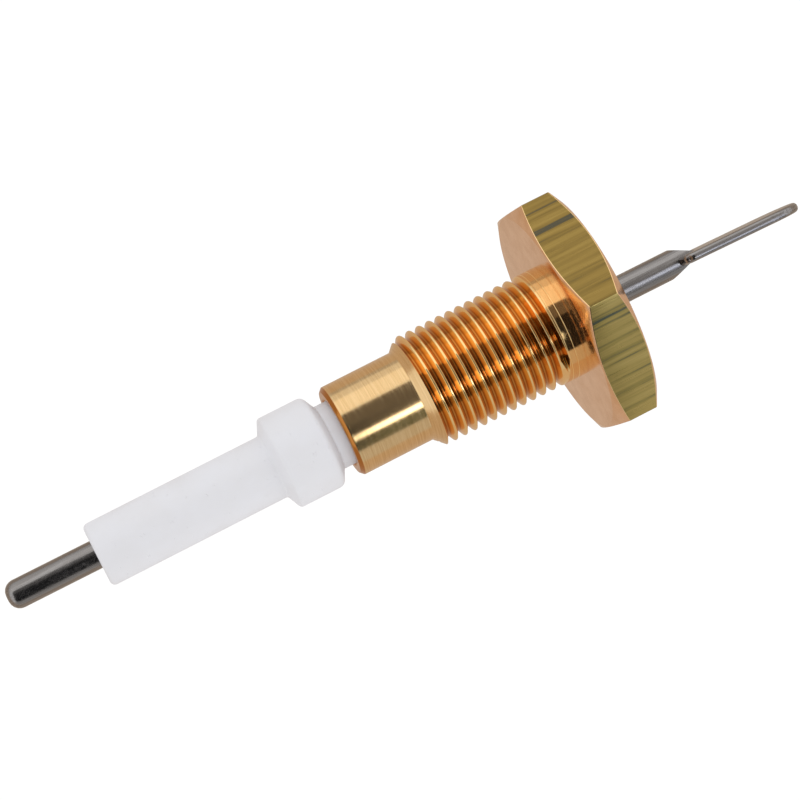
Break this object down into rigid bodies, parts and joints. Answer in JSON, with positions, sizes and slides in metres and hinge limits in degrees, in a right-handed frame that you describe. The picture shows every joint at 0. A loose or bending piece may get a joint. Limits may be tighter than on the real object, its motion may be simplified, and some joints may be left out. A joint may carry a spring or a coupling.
{
  "type": "ignition electrode",
  "caption": "Gas burner ignition electrode: steel rod in a collared ceramic insulator, held by a loose threaded brass gland with a thin hexagon, and a flattened push-on tab at the rear.",
  "frame": {"origin": "centre of the gland's seat face, where the hexagon meets the burner wall, on the common axis", "axes": "+X along the axis from the spark tip to the terminal tab, +Z through a corner of the hexagon, Y across its flats"},
  "size_m": [0.0723, 0.0194, 0.0222],
  "materials": {
    "brass": "turned and polished brass, drawn-bar flats",
    "seal": "matt black heat-resistant elastomer",
    "insulator": "unglazed white alumina",
    "rod_steel": "drawn heat-resistant steel wire",
    "cement": "cast refractory cement"
  },
  "bodies": {
    "gland": {"gland_screw": "brass"},
    "ring": {"seal_ring": "seal"},
    "electrode": {"insulator": "insulator", "electrode_rod": "rod_steel", "front_cement": "cement", "rear_cement": "cement"}
  },
  "joints": [
    {"name": "electrode_turn", "type": "hinge", "parent": "gland", "child": "ring", "pos_m": [-0.0094, 0, 0], "axis": [1, 0, 0], "continuous": true},
    {"name": "electrode_slide", "type": "slide", "parent": "ring", "child": "electrode", "axis": [1, 0, 0], "range_m": [-0.0074, 0.001]}
  ]
}
